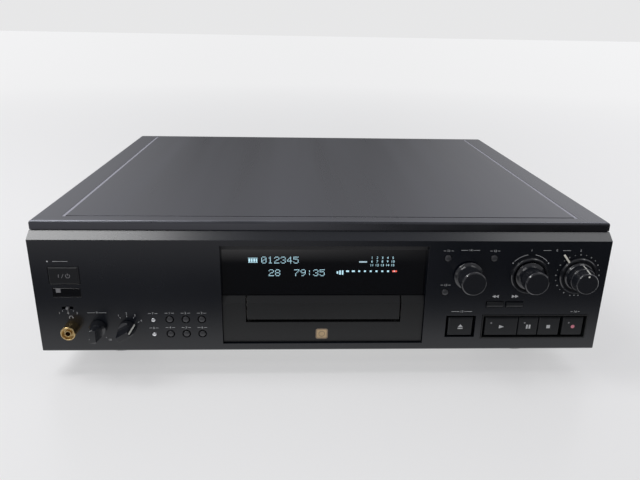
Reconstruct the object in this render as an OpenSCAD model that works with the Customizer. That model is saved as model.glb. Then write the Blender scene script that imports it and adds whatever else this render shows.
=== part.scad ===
// Minidisc deck: a wide, low hi-fi component with a motor drawer behind its display.
// Origin: centre of the footprint, on the surface the feet stand on. The front faces -Y, +Z is up.

/* [Case] */
// Width of the front panel
case_w = 430; // [428:0.5:440]
// Height of the front panel's face
fascia_h = 91; // [90.5:0.5:100]
// Thickness of the front panel's wall
fascia_t = 6; // [5.6:0.1:6.2]
// Depth of the front panel's side, top and bottom flanges, from its face
flange_d = 14; // [13.8:0.1:16]
// Thickness of those flanges
flange_t = 3; // [2:0.5:3.5]
// How far the sloped strip above the face rises
slope_rise = 5; // [3:0.5:7]
// How far back the sloped strip runs to the top plate
slope_run = 7; // [5:0.5:9]
// Depth from the front panel's face to the rear edge of the top plate
body_d = 350; // [345:1:400]
// Height from the surface to the underside of the front panel
stand_h = 21.5; // [18:0.5:26]
// Thickness of the top plate
plate_t = 7.5; // [6:0.5:10]
// How far the top plate stays inside the front panel on each side
plate_inset = 0.5; // [0:0.25:1]
// Rounding of the top plate's rear corners, seen from above
plate_corner = 8; // [2:0.5:10]
// Rounding of the top plate's upper edges
plate_r = 2.2; // [1:0.2:3]
// Rebate along the top plate's lower edges
plate_rebate = 0.8; // [0.4:0.1:1.2]
// Distance from the sides to the long grooves in the top plate
groove_in = 22; // [15:1:30]
// Distance from the front panel's face to the cross groove
groove_y = 17; // [15:0.5:24]
// Width of the grooves
groove_w = 2.2; // [1:0.2:2.4]
// Depth of the grooves
groove_deep = 0.8; // [0.6:0.1:1.6]
// Thickness of the steel sheet of the sides, rear and front upright
sheet_t = 1.2; // [1:0.1:1.5]
// Thickness of the chassis base
base_t = 1.6; // [1.2:0.1:2]
// Height of the chassis base above the front panel's underside
base_lift = 2; // [1:0.5:3]
// Diameter of a foot
foot_d = 52; // [44:1:60]
// Distance of the feet's centres from the front panel's ends
foot_in = 47; // [43:1:75]
// Distance of the front feet from the front panel's face
foot_front = 62; // [50:1:80]
// Distance of the rear feet from the top plate's rear edge
foot_back = 50; // [40:1:70]

/* [Display and drawer] */
// Half width of the opening for the display window and the centre panel
insert_x = 77.4; // [77:0.1:78]
// Top of that opening below the panel's upper edge
window_top = 4.4; // [4:0.2:6]
// Thickness of the display window
window_t = 2.5; // [2:0.1:2.6]
// How far the window reaches past its opening, behind the panel
window_lap = 3; // [2:0.5:3.5]
// Height of the centre panel with the drawer in it
insert_h = 38.6; // [38.3:0.1:38.9]
// Height of the front panel under the centre panel
insert_above = 6.1; // [6:0.1:8]
// How far the centre panel and the drawer front lie behind the front panel's face
insert_back = 2; // [1.6:0.1:2.2]
// How far their sloped upper strips run back
insert_run = 3; // [2:0.1:3.2]
// Height of their sloped upper strips
insert_slope = 5.1; // [4:0.1:6]
// Half width of the drawer front
drawer_x = 58.5; // [57.8:0.1:59]
// Height of the drawer front
drawer_h = 18.9; // [18.5:0.1:19.1]
// Gap at the drawer front's sides
drawer_gap = 1.1; // [0.6:0.1:1.3]
// Gap under the drawer front
drawer_under = 2.3; // [1:0.1:2.4]
// How far the drawer slides out
drawer_travel = 90; // [60:1:90]

/* [Drawer mechanism] */
// Half width of the tray
tray_x = 56.5; // [55:0.5:57]
// Length of the tray behind the drawer front
tray_len = 144; // [142:1:150]
// Thickness of the tray
tray_t = 9; // [8:0.5:9.5]
// Width of the cartridge that the tray holds
disc_w = 72; // [70:0.5:74]
// Depth of the cartridge from front to rear
disc_l = 68; // [66:0.5:70]
// Thickness of the cartridge
disc_t = 5; // [4:0.5:5]
// Distance from the drawer front to the cartridge well
well_front = 11; // [9:0.5:13]
// Tooth module of the loading gears
gear_m = 1; // [0.98:0.01:1.02]
// Teeth on the loading gear
gear_teeth = 20; // [20:1:20]
// Teeth on the motor's pinion
pinion_teeth = 10; // [10:1:10]
// Diameter of the turntable
turntable_d = 18; // [16:0.5:20]
// Distance that the pick-up sled travels across the disc
sled_travel = 16; // [10:0.5:17]
// Diameter of the sled's guide rods
rod_d = 3; // [2.5:0.1:3.2]

/* [Round controls] */
// Diameter of the shafts of the knobs
shaft_d = 6; // [5.8:0.1:6.2]
// Height of the three large knobs above the front panel
big_knob_l = 17.5; // [15:0.5:20]
// Height of the two pointer knobs above the front panel
bar_knob_l = 15.5; // [12:0.5:17]
// Diameter of the pointer knobs at their foot
bar_foot_d = 12.8; // [12:0.2:14]
// Length of the pointer knobs' bar at its front
bar_front_l = 10.6; // [9.6:0.2:11]
// Width of the pointer knobs' bar
bar_w = 4.4; // [3.6:0.2:5.4]
// Diameter of the push-and-turn knob
jog_d = 18.6; // [17:0.2:20]
// Diameter of the flange at the foot of the three large knobs
knob_flange_d = 22; // [21:0.2:24]
// Travel of the push-and-turn knob
jog_travel = 0.8; // [0.5:0.1:1]
// Diameter of the digital level knob
digital_d = 18; // [17:0.2:19]
// Diameter of the analog level knob's front
analog_d = 16.2; // [15:0.2:17]
// Diameter of the tapered analog level knob at its foot
analog_foot_d = 19.6; // [18:0.2:20]
// Diameter of the two rings round the level knobs
ring_d = 28.8; // [27:0.2:29]
// Diameter of the hole in the panel behind each knob
knob_hole_d = 10; // [9.6:0.1:11]

/* [Buttons] */
// Travel of a push button
press = 0.8; // [0.5:0.1:1]
// Clearance round the flush and round buttons
button_gap = 0.3; // [0.2:0.05:0.4]
// Width of the power button
power_w = 22; // [20:0.5:23]
// Height of the power button
power_h = 13.5; // [12:0.5:14]
// Diameter of the six small round buttons
small_d = 4.8; // [4.4:0.1:5.2]
// Sideways pitch of the six small round buttons
small_pitch = 12.1; // [11.5:0.1:12.6]
// Height between their two rows
small_rows = 12.2; // [11.6:0.1:13]
// Diameter of the two bright buttons
bright_d = 3.4; // [3:0.1:4]
// Diameter of the menu, yes and clear buttons
menu_d = 5; // [4.6:0.1:5.4]
// Width of the rewind and forward bars
bar_button_w = 12.8; // [12:0.1:13]
// Height of the rewind and forward bars
bar_button_h = 4.5; // [4:0.1:5]
// Width of the open/close button
open_w = 19.4; // [18:0.1:20]
// Height of the transport buttons and the open/close button
key_h = 15.8; // [15:0.1:16]
// Gap at the sides of the transport buttons and the open/close button
key_gap = 1.9; // [1.4:0.1:2]
// Gap above and below them
key_gap_z = 1.3; // [1:0.1:1.5]
// Widths of the play, pause, stop and record buttons
key_w = [26, 15.6, 16.8, 16.4]; // [15:0.1:26]
// Gap between neighbouring transport buttons
key_split = 0.4; // [0.3:0.05:0.5]
// Gap between the stop and record buttons
rec_split = 2.2; // [1.5:0.1:2.4]
// Outside diameter of the headphone adapter
adapter_d = 10.8; // [10.4:0.1:12]
// How far the headphone adapter stands out of the panel
adapter_l = 10.5; // [8:0.5:12]
// Bore of the headphone adapter
adapter_bore = 3.6; // [3.5:0.05:3.7]
// Travel of the timer lever each way
timer_travel = 3; // [2.5:0.5:3.5]
// Width of the timer lever
lever_w = 1.8; // [1.6:0.1:2.4]

/* [Rear] */
// Diameter of the phono sockets' sleeves
phono_d = 8.3; // [8:0.1:8.6]
// How far the phono sockets stand out behind the top plate's rear edge
phono_l = 10; // [8:0.5:12]
// Sideways pitch of the phono sockets
phono_pitch = 20; // [18:0.5:22]
// Width of the mains inlet's socket
inlet_w = 24.6; // [24:0.1:25]
// Height of the mains inlet's socket
inlet_h = 16.6; // [16:0.1:17]

/* [Hidden] */
$fn = 48;
eps = 0.01;

// Clearances
run_fit = 0.06;      // radial, a shaft turning or sliding in its bore
seat = 0.3;          // between pieces that move past each other
seam = 0.05;         // between pieces that are screwed or glued face to face
face_r = 1.2;        // chamfer at the lower edge of the front panel

// Planes, all measured from the front panel's upper edge and face
front_y = -(body_d + phono_l - big_knob_l) / 2;
edge_z = stand_h + fascia_h;
base_z = -fascia_h + base_lift;
floor_z = base_z + base_t;
end_x = case_w / 2;
side_x = end_x - 2.2;
rear_y = body_d - 1.3;
board_y = fascia_t + 6;
board_t = 1.6;
switch_y = fascia_t + 3.1 + press;
window_x = insert_x;
insert_bottom = fascia_h - insert_above;
insert_top = insert_bottom - insert_h;
groove_x = end_x - groove_in;

// Places on the front, drawn on a panel of 430 by 91 mm with an opening 154.8 mm wide: sideways
// from the centre, downwards from the upper edge. They move with the panel's real size.
squeeze = (end_x - insert_x) / (215 - 77.4);
function place(x, z) = [sign(x) * (insert_x + (abs(x) - 77.4) * squeeze), z * fascia_h / 91];
power_at = place(-191.5, -27.8);
ir_at = place(-191, -41.6);
ir_size = [20, 7];
timer_at = place(-192, -54);
phones_at = place(-190.3, -70.5);
phone_level_at = place(-170.9, -70.5);
selector_at = place(-149, -71);
bright_at = place(-129.4, -64.4);
small_at = place(-117, -63.9);
menu_at = place(91.9, -13.5);
yes_at = place(126.8, -13.5);
clear_at = place(91.9, -41.2);
jog_at = place(108.3, -27.2);
digital_at = place(155, -27.2);
analog_at = place(192.4, -27.3);
rewind_at = place(131.4, -51.6);
forward_at = place(146.6, -51.6);
open_at = place(106.5, -70.6);
keys_at = place(126, -70.8);
selector_turn = 60;
open_size = [open_w * squeeze, key_h];
wind_w = bar_button_w * squeeze;
small_step = small_pitch * squeeze;

// Transport keys: left edge of each, from the widths and the gaps between them
function key_wide(i) = key_w[i] * squeeze;
function key_left(i) = i == 0 ? keys_at.x
    : key_left(i - 1) + key_wide(i - 1) + (i == 3 ? rec_split : key_split);
function key_centre(i) = [key_left(i) + key_wide(i) / 2, keys_at.y];
key_right = key_left(3) + key_wide(3);
bezel_at = [(keys_at.x + key_right) / 2, keys_at.y];
bezel_size = [key_right - keys_at.x + 2 * key_gap, key_h + 2 * key_gap_z];
bezel_rim = 0.8;
bezel_lap = 2.4;

// Level knobs and their rings
knob_foot = 1.7;
ring_h = 2.8;
ring_wall = 2.2;
balance_reach = analog_at.x - digital_at.x - ring_d / 2 - 0.6;

// Drawer
drawer_z = -insert_top - drawer_h;
slot_z = drawer_z - drawer_under;
tray_y = insert_back + 3.7;
tray_top = -insert_top - 9.7;
tray_z = tray_top - tray_t;
well = [disc_w + 0.8, disc_l + 0.8, disc_t + 1];
well_y = tray_y + well_front;
rail_x = tray_x + seat;
rail_t = 3;
lip_w = 3;
lip_t = 1.6;
loader_y = 12;
loader_len = 146;
deck_z = tray_z - 9;
deck_t = 2;
deck_top = deck_z + deck_t;
loader_end = loader_y + loader_len;
motor_under = 2.4;
motor_h = deck_z - floor_z - motor_under;

// Loading gears: rack in the tray's right side, gear on a post, pinion on the motor's shaft
gear_r = gear_m * gear_teeth / 2;
pinion_r = gear_m * pinion_teeth / 2;
tooth_top = 0.9 * gear_m;
tooth_root = 1.25 * gear_m;
tooth_play = 0.2;
rack_x = tray_x - tooth_top;
rack_pitch = gear_m * PI;
rack_spare = 3;
rack_teeth = ceil(drawer_travel / rack_pitch) + 2 * rack_spare;
gear_at = [rack_x + gear_r, 33];
gear_z = tray_z + seat;
gear_h = 3.6;
post_d = 4;
pinion_side = 4;
pinion_at = gear_at + [pinion_side, sqrt(pow(gear_r + pinion_r, 2) - pow(pinion_side, 2))];
motor_d = 20;

// Disc drive
disc_y = well_y + well.y / 2;
sled_x = -21;
sled_w = 14;
rod_gap = 15;
rod_z = deck_top + 3.4;
bridge_z = tray_top + 5;
bridge_t = 3;

// Rear
jack_z = -30;
jack_drop = 22;
inlet_side = 37;
inlet_at = [inlet_side - end_x, -55];
inlet_deep = 22;

// Boards and transformer: distances to the case and to each other
board_z = floor_z + 8;
board_edge = end_x - 7;
board_low = 5 - fascia_h;
boards_in = end_x - 15;
split_x = -80 * case_w / 430;
main_front = loader_end + 22;
main_rear = body_d - 14;
core_rear = rear_y - inlet_deep - 36.7;
core_len = 50;
supply_front = 80;
supply_rear = core_rear - core_len - 25;

// Colours
black = [0.10, 0.11, 0.12];
satin = [0.16, 0.17, 0.18];
grey = [0.42, 0.42, 0.45];
steel = [0.62, 0.63, 0.65];
zinc = [0.72, 0.72, 0.70];
gold = [0.80, 0.65, 0.34];
glass = [0.04, 0.04, 0.05];
white_plastic = [0.85, 0.84, 0.80];
board_green = [0.12, 0.34, 0.20];
cap_silver = [0.80, 0.82, 0.84];
copper = [0.75, 0.45, 0.20];

// ---------- Shared shapes ----------

// Puts a piece that is measured from the front panel's upper edge and face
module at_front() {
    translate([0, front_y, edge_z]) children();
}

// Box between two corners
module box(a, b) {
    translate(a) cube(b - a);
}

// Rectangle with round corners
module round_rect(size, r) {
    square([size.x - 2 * r, size.y], center = true);
    square([size.x, size.y - 2 * r], center = true);
    for (i = [-1, 1], j = [-1, 1])
        translate([i * (size.x / 2 - r), j * (size.y / 2 - r)]) circle(r);
}

// Outline in the plane of the front, carried from y0 back to y1
module carry(at, y0, y1) {
    translate([at.x, y1, at.y]) rotate([90, 0, 0]) linear_extrude(y1 - y0) children();
}

// Round bar along the depth
module rod(at, d, y0, y1) {
    carry(at, y0, y1) circle(d = d);
}

// Turned shape about an axis along the depth: points are [radius, height above the panel]
module turned(at, points) {
    translate([at.x, 0, at.y]) rotate([90, 0, 0]) rotate_extrude($fn = 72) polygon(points);
}

// Outline in the plane [depth, height], carried across the width
module profile(x0, x1) {
    translate([x0, 0, 0]) rotate([90, 0, 90]) linear_extrude(x1 - x0) children();
}

// Round push button: domed cap and a collar behind the panel
module round_button(at, d, proud) {
    r = d / 2;
    turned(at, [[0, -fascia_t - 1.8], [r + 1, -fascia_t - 1.8], [r + 1, -fascia_t - seat],
                [r, -fascia_t - seat], [r, proud - 0.8], [0.9 * r, proud - 0.4],
                [0.6 * r, proud - 0.1], [0, proud]]);
}

// Rectangular push button: chamfered cap and a collar behind the panel
module key(at, size, proud, collar, bevel = 0.6) {
    back = fascia_t + 0.6 + seat;
    x = size.x / 2;
    z = size.y / 2;
    translate([at.x, 0, at.y]) intersection() {
        profile(-x, x) polygon([[bevel - proud, -z], [-proud, bevel - z], [-proud, z - bevel],
                                [bevel - proud, z], [back, z], [back, -z]]);
        translate([0, 0, -z]) linear_extrude(2 * z)
            polygon([[-x, bevel - proud], [bevel - x, -proud], [x - bevel, -proud],
                     [x, bevel - proud], [x, back], [-x, back]]);
    }
    carry(at, back - eps, back + 1.2) square(size + collar, center = true);
}

// Push button with a half-round front and a collar behind the panel
module half_round_key(at, size, proud, collar) {
    back = fascia_t + 0.9;
    z = size.y / 2;
    bulge = proud - 0.3;
    r = (z * z + bulge * bulge) / (2 * bulge);
    translate([at.x, 0, at.y]) profile(-size.x / 2, size.x / 2) {
        intersection() {
            translate([r - proud, 0]) circle(r);
            translate([-proud, -z]) square([bulge + eps, 2 * z]);
        }
        translate([bulge - proud, -z]) square([back + proud - bulge, 2 * z]);
    }
    carry(at, back - eps, back + 1.2) square(size + collar, center = true);
}

// Pan-head screw pointing along +Z, its head below the origin
module screw() {
    difference() {
        translate([0, 0, -1.8]) cylinder(d = 5.6, h = 1.8, $fn = 32);
        for (a = [0, 90]) rotate(a) translate([-1.4, -0.3, -1.9]) cube([2.8, 0.6, 1]);
    }
    cylinder(d = 2.9, h = 6, $fn = 24);
}

// ---------- Case ----------

// Every opening through the front panel's wall
module fascia_openings() {
    y0 = -1;
    y1 = fascia_t + 1;
    box([-insert_x, y0, -insert_bottom], [insert_x, y1, -window_top]);
    carry(power_at, y0, y1)
        square([power_w + 2 * button_gap, power_h + 2 * button_gap], center = true);
    carry(ir_at, y0, y1) square(ir_size + [2 * button_gap, 2 * button_gap], center = true);
    carry(timer_at, y0, y1) square([2 * timer_travel + lever_w + 0.6, lever_w + 0.4], center = true);
    rod(phones_at, adapter_d - 1, y0, y1);
    for (at = [phone_level_at, selector_at, jog_at, digital_at, analog_at])
        rod(at, knob_hole_d, y0, y1);
    for (row = [0, 1]) {
        down = [0, -row * small_rows];
        rod(bright_at + down, bright_d + 2 * button_gap, y0, y1);
        for (i = [0:2])
            rod(small_at + [i * small_step, 0] + down, small_d + 1.6, y0, y1);
    }
    for (at = [menu_at, yes_at, clear_at]) rod(at, menu_d + 2 * button_gap, y0, y1);
    for (at = [rewind_at, forward_at])
        carry(at, y0, y1)
            square([wind_w + 2 * button_gap, bar_button_h + 2 * button_gap], center = true);
    carry(open_at, y0, y1) square(open_size + 2 * [key_gap, key_gap_z], center = true);
    carry(bezel_at, y0, y1)
        square(bezel_size + 2 * (bezel_rim + 0.2) * [1, 1], center = true);
}

// Front panel: a thick wall with a sloped strip above its face, and four flanges behind its edges
module fascia() {
    inner = end_x - flange_t;
    low = flange_t - fascia_h;
    high = slope_rise - 2 * flange_t;
    back = fascia_t + seam;
    color(black) at_front() {
        difference() {
            profile(-end_x, end_x) polygon([
                [face_r, -fascia_h], [fascia_t, -fascia_h], [fascia_t, high], [slope_run, high],
                [slope_run, slope_rise], [0, 0], [0, face_r - fascia_h]]);
            fascia_openings();
        }
        box([-end_x, slope_run + seam, high], [end_x, flange_d, slope_rise]);
        box([-end_x, back, -fascia_h], [end_x, flange_d, low]);
        for (x = [-end_x, inner]) box([x, back, low + seam], [x + flange_t, flange_d, high - seam]);
    }
}

// Section of the top plate from its underside up: round upper edges, rebated lower ones
module plate_section(w) {
    r = plate_r;
    b = plate_rebate;
    translate([-w / 2, b]) square([w, plate_t - r - b]);
    translate([b - w / 2, 0]) square([w - 2 * b, plate_t - r]);
    translate([r - w / 2, b]) square([w - 2 * r, plate_t - b]);
    for (i = [-1, 1]) translate([i * (w / 2 - r), plate_t - r]) circle(r);
}

// Top plate seen from above: square front corners, round rear ones
module plate_plan(w) {
    c = plate_corner;
    translate([-w / 2, slope_run]) square([w, body_d - slope_run - c]);
    translate([c - w / 2, slope_run]) square([w - 2 * c, body_d - slope_run]);
    for (i = [-1, 1]) translate([i * (w / 2 - c), body_d - c]) circle(c);
}

// Top plate with two long grooves and a cross groove near its front
module top_plate() {
    w = case_w - 2 * plate_inset;
    depth = body_d - slope_run;
    top = slope_rise + plate_t;
    color(grey) at_front() difference() {
        intersection() {
            profile(-w / 2, w / 2)
                translate([slope_run + depth / 2, slope_rise]) plate_section(depth);
            carry([0, slope_rise], slope_run, body_d) plate_section(w);
            translate([0, 0, slope_rise]) linear_extrude(plate_t) plate_plan(w);
        }
        for (side = [-1, 1])
            translate([side * groove_x - groove_w / 2, groove_y, top - groove_deep])
                cube([groove_w, body_d - groove_y - 6, groove_deep + 1]);
        translate([-groove_x, groove_y, top - groove_deep])
            cube([2 * groove_x, groove_w, groove_deep + 1]);
    }
}

// Steel side with a flange under the top plate and one on the chassis base
module side_panel(side) {
    x = side_x - sheet_t;
    color(satin) at_front() mirror([side < 0 ? 1 : 0, 0, 0]) difference() {
        union() {
            box([x, flange_d, -fascia_h + 0.5], [side_x, rear_y, slope_rise]);
            box([x - 12, flange_d, slope_rise - sheet_t], [x + eps, rear_y, slope_rise]);
        }
        for (y = side_screw_depths())
            translate([x - 1, y, side_screw_z]) rotate([0, 90, 0]) cylinder(d = 3.4, h = 4);
    }
}

// Folded steel base with side flanges and the upright that carries the front
module chassis_base() {
    x = side_x - sheet_t - seat;
    wall = sheet_t;
    z1 = slope_rise - sheet_t - seat;
    color(zinc) at_front() difference() {
        union() {
            box([-x, flange_d, base_z], [x, rear_y - seat, floor_z]);
            for (side = [-1, 1])
                translate([side * (x - wall / 2) - wall / 2, flange_d, base_z])
                    cube([wall, rear_y - sheet_t - seat - flange_d, 30]);
            box([-x, flange_d, base_z], [x, flange_d + wall, z1]);
        }
        // drawer, display and control windows in the upright
        box([-insert_x - 14, flange_d - 1, deck_z - 2], [insert_x + 14, flange_d + wall + 1, -3]);
        for (side = [-1, 1]) mirror([side < 0 ? 1 : 0, 0, 0])
            box([insert_x + 20, flange_d - 1, floor_z + 3], [side_x - 8, flange_d + wall + 1, -9]);
        for (p = foot_places()) translate([p.x, p.y, base_z - 1]) cylinder(d = 3.4, h = base_t + 2);
    }
}

// Places of the feet: [sideways, depth]
function foot_places() = [
    for (y = [foot_front, body_d - foot_back], side = [-1, 1]) [side * (end_x - foot_in), y]
];

// Four round feet with a chamfered rim and a recess for their screw
module feet() {
    h = stand_h + base_lift;
    r = foot_d / 2;
    color(black) at_front() for (p = foot_places())
        translate([p.x, p.y, base_z - h]) rotate_extrude($fn = 96) polygon([
            [4.5, 0], [r - 1.5, 0], [r, 1.5], [r, h - 4], [r - 2, h], [1.7, h], [1.7, h - 9],
            [4.5, h - 9]]);
}

// Rear panel with the openings for the sockets
module rear_panel() {
    x = side_x - sheet_t - seat;
    color(satin) at_front() difference() {
        box([-x, rear_y - sheet_t, base_z + base_t + seat], [x, rear_y, slope_rise - sheet_t - seat]);
        for (at = phono_places()) rod(at, phono_d + 3.6, rear_y - 4, rear_y + 1);
        for (at = optical_places())
            carry(at, rear_y - 4, rear_y + 1) square([10.4, 10.4], center = true);
        carry(inlet_at, rear_y - 4, rear_y + 1) square([inlet_w + 4.6, inlet_h + 4.6], center = true);
        for (at = rear_screw_places()) rod(at, 3.4, rear_y - 4, rear_y + 1);
    }
}

// Places of the rear sockets and screws: [sideways, height]
function phono_places() = [for (i = [0:4], row = [0, 1]) if (i < 4 || row == 0)
    [60 + i * phono_pitch, jack_z - row * jack_drop]];
function optical_places() = [for (i = [0:2]) [-20 + i * 22, jack_z]];
function rear_screw_places() = concat(
    [for (i = [-2:2]) [i * boards_in / 2, -8]],
    [for (side = [-1, 1]) [side * boards_in, 11 - fascia_h]]);

// Screws of the sides: depths and height
side_screw_z = -14;
function side_screw_depths() = [60, body_d / 2, body_d - 60];

// Screws of the sides, the rear and the feet
module case_screws() {
    color(black) at_front() {
        for (side = [-1, 1], y = side_screw_depths())
            translate([side * (side_x + eps), y, side_screw_z]) rotate([0, -side * 90, 0]) screw();
        for (at = rear_screw_places())
            translate([at.x, rear_y + eps, at.y]) rotate([90, 0, 0]) screw();
        for (p = foot_places())
            translate([p.x, p.y, base_z - 9 - eps]) screw_long();
    }
}

// Foot screw: the same head with a shank that reaches through the base
module screw_long() {
    screw();
    translate([0, 0, 5]) cylinder(d = 2.9, h = 8, $fn = 24);
}

// ---------- Front, fixed ----------

// Dark window over the display, seated on the panel's inner face
module display_window() {
    color(glass) at_front()
        box([-window_x - window_lap, fascia_t, -insert_top - 1],
            [window_x + window_lap, fascia_t + window_t, -window_top + 1.4]);
}

// Centre panel: a U round the drawer front with a sloped upper strip
module centre_panel() {
    x = insert_x - 0.2;
    low = -insert_bottom + 0.2;
    y = insert_back;
    color(satin) at_front() difference() {
        union() {
            profile(-x, x) polygon([
                [y, low], [y, -insert_top - insert_slope], [y + insert_run, -insert_top],
                [fascia_t, -insert_top], [fascia_t, low]]);
            box([-x - 3, fascia_t, low - 3], [x + 3, fascia_t + 2.5, -insert_top - 1.3]);
        }
        box([-drawer_x - drawer_gap, -1, slot_z], [drawer_x + drawer_gap, fascia_t + 4, 1]);
    }
}

// Window over the remote-control receiver
module ir_window() {
    color(glass) at_front() {
        carry(ir_at, 0.2, fascia_t) square(ir_size, center = true);
        carry(ir_at, fascia_t, fascia_t + 1.5) square(ir_size + [3, 2], center = true);
    }
}

// Headphone socket: a moulded body behind the panel with a bore for the adapter's plug
module phones_jack() {
    color(black) at_front() difference() {
        union() {
            rod(phones_at, adapter_d - 1.2, 0, fascia_t + eps);
            carry(phones_at, fascia_t, fascia_t + 26) square([15, 15], center = true);
        }
        rod(phones_at, 6.4, -1, fascia_t + 24);
    }
}

// Adapter plugged into the socket: a barrel with a deep rim round its small bore, and its plug
module headphone_adapter() {
    r = adapter_d / 2;
    plug = 6.3 / 2;
    tube = adapter_bore / 2 + 0.7;
    l = adapter_l;
    color(gold) at_front() difference() {
        turned(phones_at, [[0, -22], [plug - 1.5, -22], [plug, -20], [plug, 0], [r, 0],
            [r, l - 0.4], [r - 0.3, l], [r - 0.9, l], [r - 1.1, l - 0.3], [r - 1.1, l - 2.5],
            [tube, l - 2.5], [tube, l - 0.4], [0, l - 0.4]]);
        rod(phones_at, adapter_bore, -l - 1, 4.5);
    }
}

// Section of a ring round a level knob: [radius, height], starting at its foot
function ring_section(foot) = [
    [ring_d / 2, foot], [ring_d / 2, ring_h - 0.8], [ring_d / 2 - 0.7, ring_h],
    [ring_d / 2 - ring_wall + 0.4, ring_h], [ring_d / 2 - ring_wall, ring_h - 0.5]];

// Fixed ring round the digital level knob
module digital_level_ring() {
    color(black) at_front()
        turned(digital_at, concat([[ring_d / 2 - ring_wall, 0]], ring_section(0)));
}

// Frame round the transport buttons, with a rim behind the panel
module transport_bezel() {
    color(black) at_front() difference() {
        union() {
            carry(bezel_at, -0.4, fascia_t)
                square(bezel_size + 2 * bezel_rim * [1, 1], center = true);
            carry(bezel_at, fascia_t, fascia_t + 0.6)
                square(bezel_size + 2 * bezel_lap * [1, 1], center = true);
        }
        carry(bezel_at, -1, fascia_t + 1) square(bezel_size, center = true);
    }
}

// ---------- Front, moving ----------

module power_button() {
    color(black) at_front() key(power_at, [power_w, power_h], 0.8, [2, 2], 0.8);
}

// Slide lever of the timer switch, with its plate behind the panel
module timer_lever() {
    color(grey) at_front() {
        carry(timer_at, -1.6, fascia_t + seat) square([lever_w, lever_w], center = true);
        carry(timer_at, fascia_t + seat, fascia_t + 1.5) square([5, 5], center = true);
    }
}

// Shaft of a knob, turning in the bush of its control
module knob_shaft(at, top) {
    rod(at, shaft_d, -top, board_y - 0.8);
}

// Tapered round knob, both flanks scooped out to a bar whose top end points along the given angle
module bar_knob(at, turn) {
    l = bar_knob_l;
    r = bar_foot_d / 2;
    end = bar_front_l / 2;
    w = bar_w / 2;
    flank = [[r + 0.1, 3.5], [0.72 * r, 5.5], [1.45 * w, 8.5], [1.1 * w, 12], [0.95 * w, l + 1]];
    difference() {
        intersection() {
            turned(at, [[0, 0.6], [r, 0.6], [r, 3], [end, l - 0.5], [end - 0.4, l], [0, l]]);
            translate([at.x, 0, at.y]) rotate([0, turn, 0])
                linear_extrude(2 * r + 2, center = true) polygon(concat(
                    [for (p = flank) [p.x, -p.y]],
                    [for (i = [len(flank) - 1:-1:0]) [-flank[i].x, -flank[i].y]],
                    [[-r - 0.1, 0], [r + 0.1, 0]]));
        }
        rod(at, knob_hole_d, -2.6, 1);
    }
    knob_shaft(at, 3);
}

module phone_level_knob() {
    color(black) at_front() bar_knob(phone_level_at, 0);
}

module input_selector_knob() {
    color(black) at_front() bar_knob(selector_at, selector_turn);
}

module bright_button(row) {
    color(cap_silver) at_front() round_button(bright_at - [0, row * small_rows], bright_d, 0.6);
}

module small_button(column, row) {
    color(satin) at_front()
        round_button(small_at + [column * small_step, -row * small_rows], small_d, 0.8);
}

module menu_style_button(at) {
    color(satin) at_front() round_button(at, menu_d, 1);
}

// Shaft of the push-and-turn knob; it slides in the bush and stays clear of its end
module jog_shaft() {
    color(steel) at_front() rod(jog_at, shaft_d, -big_knob_l + 4, board_y - jog_travel - 0.4);
}

// Flange at the foot of a large knob: [radius, height], from the axis outwards
function knob_flange(foot) = [
    [0, foot], [knob_flange_d / 2, foot], [knob_flange_d / 2, foot + 1.1],
    [knob_flange_d / 2 - 0.7, foot + 1.7]];

// Straight side and face of a large knob over its flange
function knob_side(r, foot) = [
    [r, foot + 2.3], [r, big_knob_l - 0.9], [r - 0.9, big_knob_l], [0, big_knob_l]];

// Push-and-turn knob; its travel is left free behind its foot
module jog_knob() {
    foot = jog_travel + 0.7;
    color(black) at_front() difference() {
        turned(jog_at, concat(knob_flange(foot), knob_side(jog_d / 2, foot)));
        rod(jog_at, shaft_d + 2 * run_fit, -big_knob_l + 3.7, 1);
        rod(jog_at, knob_hole_d, -foot - 2.4, 1);
    }
}

// Level knob on its own shaft, with the given side over its flange
module level_knob(at, side) {
    difference() {
        turned(at, concat(knob_flange(knob_foot), side));
        rod(at, knob_hole_d, -knob_foot - 2.4, 1);
    }
    knob_shaft(at, knob_foot + 3);
}

module digital_level_knob() {
    color(black) at_front() level_knob(digital_at, knob_side(digital_d / 2, knob_foot));
}

// Tapered level knob with a groove round its waist
module analog_level_knob() {
    l = big_knob_l;
    foot = analog_foot_d / 2;
    end = analog_d / 2;
    waist = l - 7.2;
    color(black) at_front() level_knob(analog_at, [
        [foot, knob_foot + 2.5], [foot - 0.4, waist - 0.3], [foot - 0.9, waist + 0.1],
        [foot - 0.7, waist + 0.6], [end, l - 0.6], [end - 0.5, l], [0, l]]);
}

// Balance ring round the analog level knob: its web turns on a bush and carries a pointer
module balance_ring() {
    bush = knob_hole_d / 2 + 1;
    inner = ring_d / 2 - ring_wall;
    foot = ring_d / 2 - 0.9;
    color(black) at_front() turned(analog_at, concat(
        [[bush, 0.5]], ring_section(0.5), [[inner, 1.3], [bush, 1.3]]));
    color(cap_silver) at_front() translate([analog_at.x, 0, analog_at.y])
        rotate([0, -38, 0]) carry([0, 0], -2.2, -0.6) polygon([
            [-1.5, foot], [1.5, foot], [0.8, foot + 2.5], [0.8, balance_reach],
            [-0.8, balance_reach], [-0.8, foot + 2.5]]);
}

module wind_button(at) {
    color(satin) at_front() half_round_key(at, [wind_w, bar_button_h], 1.6, [0, 2]);
}

module open_close_button() {
    color(black) at_front() key(open_at, open_size, 0.3, [2 * key_gap + 1, 2 * key_gap_z + 1], 1);
}

// Transport button, numbered from the left
module transport_key(i) {
    color(black) at_front()
        key(key_centre(i), [key_wide(i), key_h], 0.3, [0, 2 * key_gap_z + 1], 1);
}

// ---------- Drawer and mechanism ----------

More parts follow.
